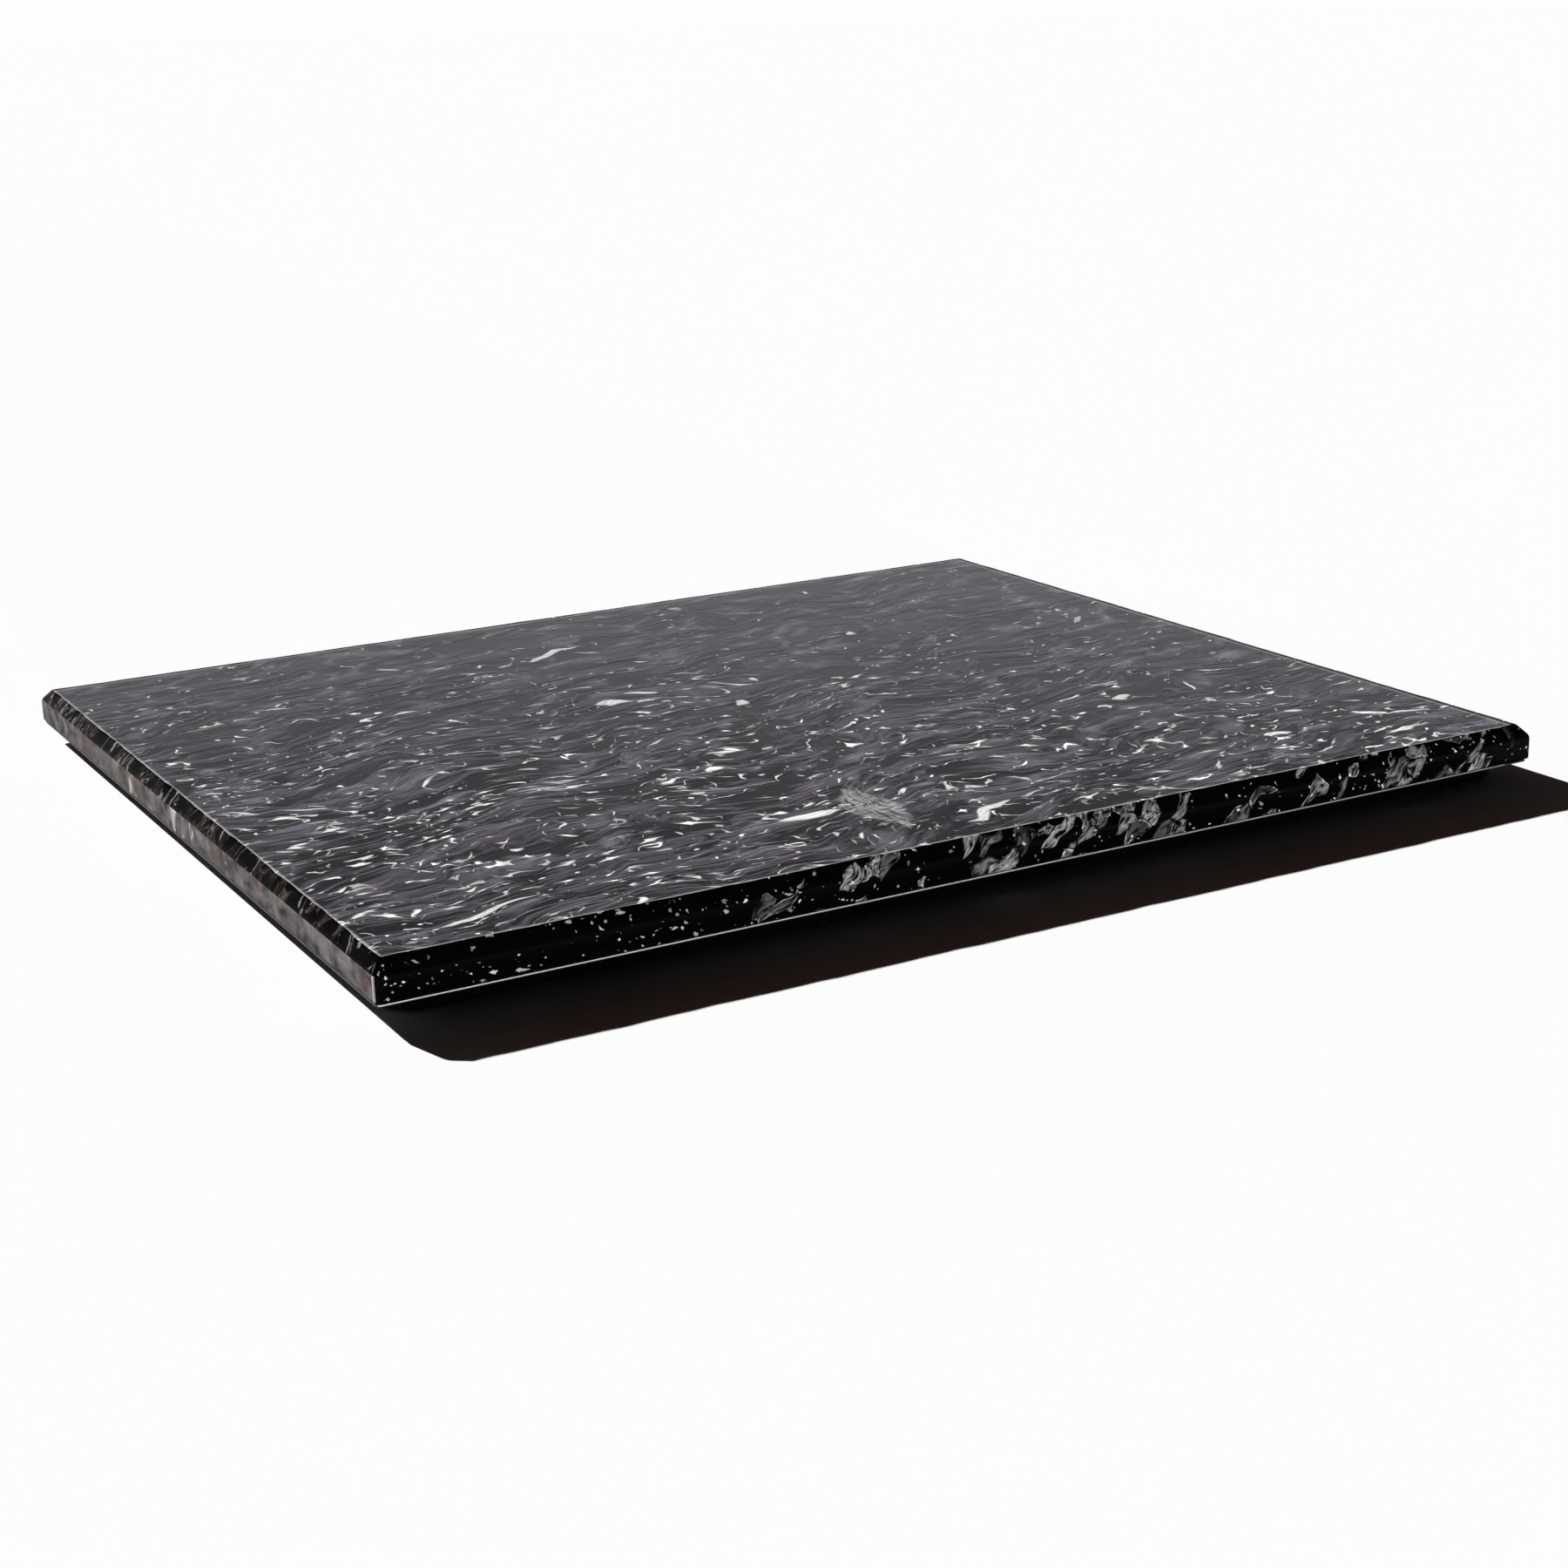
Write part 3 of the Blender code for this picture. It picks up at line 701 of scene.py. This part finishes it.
def makeFoam(spec):
    material, tree, shader, place = startMaterial("closedCellFoam", {
        "Roughness": 0.9, "IOR": 1.45, "Specular IOR Level": 0.3})
    counted = turnedPlace(tree, place, (spec["cellSize"],) * 3, 0)
    cells = addNode(tree, "ShaderNodeTexVoronoi", {"feature": "F1"}, {"Vector": counted, "Scale": 1.0})
    base = addNode(tree, "ShaderNodeMix", {"data_type": "RGBA"},
                   {"Factor": cells, 6: linearColour(spec["foam"]), 7: linearColour(spec["cell"])}, 2)
    tree.links.new(base, shader.inputs["Base Color"])
    bump = addNode(tree, "ShaderNodeBump", {}, {"Height": cells, "Strength": 0.6, "Distance": 0.1 * mm})
    tree.links.new(bump, shader.inputs["Normal"])
    return material


# ---- base board: compact phenolic laminate, pressed matt black with a fine pebble
laminate = {"board": "#030303", "worn": "#070707", "pebble": 0.8, "roughness": 0.7}


def makeLaminate(spec):
    material, tree, shader, place = startMaterial("phenolicLaminate", {
        "Roughness": spec["roughness"], "IOR": 1.5, "Specular IOR Level": 0.06})
    cloudy = shade(tree, place, (30, 30, 8), 0, 4.0, 0.4, 0.75, 0.0, 0.8)
    base = addNode(tree, "ShaderNodeMix", {"data_type": "RGBA"},
                   {"Factor": cloudy, 6: linearColour(spec["board"]), 7: linearColour(spec["worn"])}, 2)
    tree.links.new(base, shader.inputs["Base Color"])
    pebble = shade(tree, place, (spec["pebble"],) * 3, 0, 2.0, 0.3, 0.7, 0.0, 1.0)
    bump = addNode(tree, "ShaderNodeBump", {}, {"Height": pebble, "Strength": 0.5, "Distance": 0.05 * mm})
    tree.links.new(bump, shader.inputs["Normal"])
    return material


# ---- rubber pads: moulded dark grey rubber with a dull bloom
rubber = {"rubber": "#1d1d1f", "bloom": "#3a3a3c", "roughness": 0.78}


def makeRubber(spec):
    material, tree, shader, place = startMaterial("mouldedRubber", {
        "Roughness": spec["roughness"], "IOR": 1.52, "Specular IOR Level": 0.35})
    cloudy = shade(tree, place, (5, 5, 5), 0, 4.0, 0.4, 0.8, 0.0, 0.8)
    base = addNode(tree, "ShaderNodeMix", {"data_type": "RGBA"},
                   {"Factor": cloudy, 6: linearColour(spec["rubber"]), 7: linearColour(spec["bloom"])}, 2)
    tree.links.new(base, shader.inputs["Base Color"])
    fine = shade(tree, place, (0.5, 0.5, 0.5), 0, 2.0, 0.3, 0.7, 0.0, 1.0)
    bump = addNode(tree, "ShaderNodeBump", {}, {"Height": fine, "Strength": 0.4, "Distance": 0.03 * mm})
    tree.links.new(bump, shader.inputs["Normal"])
    return material


def dress(names, material):
    for name in names:
        piece = nodes[name]
        for slot in piece.material_slots:
            slot.link = "OBJECT"
            slot.material = material


dress(["backing_sheet"], makeGlassResin(glassResin, *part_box("backing_sheet")))
dress(["tape_strip_front", "tape_strip_middle", "tape_strip_back"], makeFoam(foam))
dress(["base_board"], makeLaminate(laminate))
rubberMaterial = makeRubber(rubber)
print("backing, tape and board dressed")


# ---- pads: a turned profile with a shallow groove and a slightly domed sole
padShape = {"groove": 0.35, "grooveAt": 0.62, "grooveWidth": 0.10, "dome": 0.12, "ease": 0.35, "sides": 64}


def makePad(name, node, spec, material):
    # radius and height along a profile, turned about the pad's upright axis, each end closed in a pole; the
    # sole rises as the fourth power of the radius, plus a groove that is exp(-d d d d) across its width
    low, high = (np.array(corner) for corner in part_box(node))
    centre, radius, depth = (low + high) / 2, (high[0] - low[0]) / 2, high[2] - low[2]
    ease = spec["ease"] * mm
    r = np.concatenate([np.linspace(0.08, 0.9, 24) * (radius - ease), [radius - ease]])
    share = r / radius
    dip = spec["groove"] * mm * np.exp(-((share - spec["grooveAt"]) / (spec["grooveWidth"] / 2)) ** 4)
    z = low[2] + spec["dome"] * mm * share ** 4 + dip
    turn = np.linspace(0, np.pi / 2, 6)[1:]
    r = np.concatenate([r, radius - ease + ease * np.sin(turn), [radius, radius - 0.1 * mm, radius * 0.5]])
    z = np.concatenate([z, z[-1] + ease * (1 - np.cos(turn)), [high[2] - 0.1 * mm, high[2], high[2]]])
    z = np.minimum(z, high[2])
    angle = np.arange(spec["sides"]) / spec["sides"] * 2 * np.pi
    ring = np.stack([centre[0] + r[:, None] * np.cos(angle), centre[1] + r[:, None] * np.sin(angle),
                     z[:, None] + 0 * angle], -1)
    poles = [[centre[0], centre[1], low[2]], [centre[0], centre[1], high[2]]]
    points = np.concatenate([ring.reshape(-1, 3), poles])
    count, levels = spec["sides"], len(r)
    index = np.arange(levels * count).reshape(levels, count)
    nextOne = np.roll(index, -1, axis=1)
    faces = np.stack([index[:-1], nextOne[:-1], nextOne[1:], index[1:]], -1).reshape(-1, 4).tolist()
    pole, top = levels * count, levels * count + 1
    faces += [[pole, b, a] for a, b in zip(index[0].tolist(), nextOne[0].tolist())]
    faces += [[top, a, b] for a, b in zip(index[-1].tolist(), nextOne[-1].tolist())]
    pad = makePiece(name, points, faces, [material], np.zeros(len(faces), int))
    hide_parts(node)
    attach(pad, "root")


for node in ("pad_front_left", "pad_front_right", "pad_back_left", "pad_back_right", "pad_centre"):
    makePad("rubber_" + node, node, padShape, rubberMaterial)
print("pads turned")


# ---- floor and light
studio = {
    "floorReach": 80.0,  # metres
    "floorColour": "#b4b4b4",
    "floorShown": 0.965,  # how bright the lit floor comes out, 1 being white
    "sunHeight": 26.6,  # degrees above the floor, from behind the slab
    "sunTurn": 15.0,  # degrees that it stands to the left of straight behind
    "sunWidth": 0.9,
    "fillHeight": 0.35,  # a soft low light from the front, so low that the floor hardly takes it
    "fillTurn": 8.0,  # and this one to the left of straight in front
    "fillWidth": 0.6,
    "fillStrength": 2.0,
}


def makeFloor(spec):
    # a flat ring of quads from the middle outwards, each ring three times as wide as the last
    rings = np.concatenate([[0.0], 0.3 * 3.0 ** np.arange(6)])
    rings = np.append(rings[rings < spec["floorReach"]], spec["floorReach"])
    sides = 48
    angle = np.arange(sides) / sides * 2 * np.pi
    points = np.stack([rings[1:, None] * np.cos(angle), rings[1:, None] * np.sin(angle),
                       np.zeros((len(rings) - 1, sides))], -1).reshape(-1, 3)
    index = np.arange(len(points)).reshape(-1, sides)
    nextOne = np.roll(index, -1, axis=1)
    faces = np.stack([index[:-1], index[1:], nextOne[1:], nextOne[:-1]], -1).reshape(-1, 4).tolist()
    faces.append(index[0].tolist())
    material = startMaterial("paleFloor", {
        "Base Color": linearColour(spec["floorColour"]), "Roughness": 1.0, "Specular IOR Level": 0.0})[0]
    floor = makePiece("floor", points, faces, [material], np.zeros(len(faces), int), False)


def makeSunlight(name, height, turn, width, strength, way):
    # parallel light that comes down at height and is turned from the Y axis; way is 1 towards the back
    # and -1 towards the front
    data = bpy.data.lights.new(name, "SUN")
    rise, turn = math.radians(height), math.radians(turn)
    data.energy, data.angle = strength, math.radians(width)
    sun = bpy.data.objects.new(name, data)
    bpy.context.scene.collection.objects.link(sun)
    level = math.cos(rise)
    travel = Vector((math.sin(turn) * level, way * math.cos(turn) * level, -math.sin(rise)))
    sun.rotation_mode = "QUATERNION"
    sun.rotation_quaternion = travel.to_track_quat("-Z", "Y")
    sun.visible_glossy = False  # the glare is left to the soft surroundings


def makeSuns(spec):
    # the key light's strength is what brings the lit floor out at floorShown
    albedo = linearColour(spec["floorColour"])[0]
    strength = spec["floorShown"] * math.pi / (albedo * math.sin(math.radians(spec["sunHeight"])))
    makeSunlight("key", spec["sunHeight"], spec["sunTurn"], spec["sunWidth"], strength, -1)
    makeSunlight("fill", spec["fillHeight"], spec["fillTurn"], spec["fillWidth"], spec["fillStrength"], 1)


def makeWorld(spec):
    # brightness by height above the horizon, one run of values behind the slab and another in front of it
    world = bpy.data.worlds.new("studio")
    bpy.context.scene.world = world
    world.use_nodes = True
    tree = world.node_tree
    tree.nodes.clear()
    way = addNode(tree, "ShaderNodeTexCoord", {}, {}, "Generated")
    split = addNode(tree, "ShaderNodeSeparateXYZ", {}, {"Vector": way})
    sides = []
    for stops in (spec["front"], spec["back"]):
        ramp = addNode(tree, "ShaderNodeValToRGB", {}, {"Fac": split.node.outputs["Z"]})
        elements = ramp.node.color_ramp.elements
        while len(elements) < len(stops):
            elements.new(0.5)
        for element, (height, colour) in zip(elements, stops):
            element.position, element.color = math.sin(math.radians(height)), (*colour, 1)
        sides.append(ramp)
    # level directions change from the front's run to the back's between 17 and 38 degrees past the side
    behind = addNode(tree, "ShaderNodeMapRange", {}, {
        "Value": split.node.outputs["Y"], "From Min": 0.30, "From Max": 0.62})
    glow = addNode(tree, "ShaderNodeMix", {"data_type": "RGBA"},
                   {"Factor": behind, 6: sides[0], 7: sides[1]}, 2)
    soft = addNode(tree, "ShaderNodeBackground", {}, {"Color": glow, "Strength": 1.0})
    plain = addNode(tree, "ShaderNodeBackground", {}, {"Color": (0.985, 0.985, 0.98, 1), "Strength": 1.0})
    seen = addNode(tree, "ShaderNodeLightPath", {}, {}, "Is Camera Ray")
    both = addNode(tree, "ShaderNodeMixShader", {}, {"Fac": seen, 1: soft, 2: plain})
    addNode(tree, "ShaderNodeOutputWorld", {}, {"Surface": both})


surroundings = {  # degrees above the horizon, and the brightness there
    "back": [(0, (0.84, 0.83, 0.89)), (9, (0.90, 0.89, 0.95)), (12.5, (0.64, 0.63, 0.67)),
             (16, (0.14, 0.135, 0.15)), (20, (0.05, 0.045, 0.05)), (30, (0.15, 0.085, 0.070)),
             (50, (0.10, 0.052, 0.042)), (90, (0.003, 0.002, 0.002))],
    "front": [(0, (0.10, 0.09, 0.09)), (3.5, (0.06, 0.05, 0.05)), (5.5, (0.01, 0.008, 0.008)),
              (13, (0.003, 0.002, 0.002)), (90, (0.002, 0.0012, 0.001))],
}
makeFloor(studio)
makeSuns(studio)
makeWorld(surroundings)
print("floor and light set")
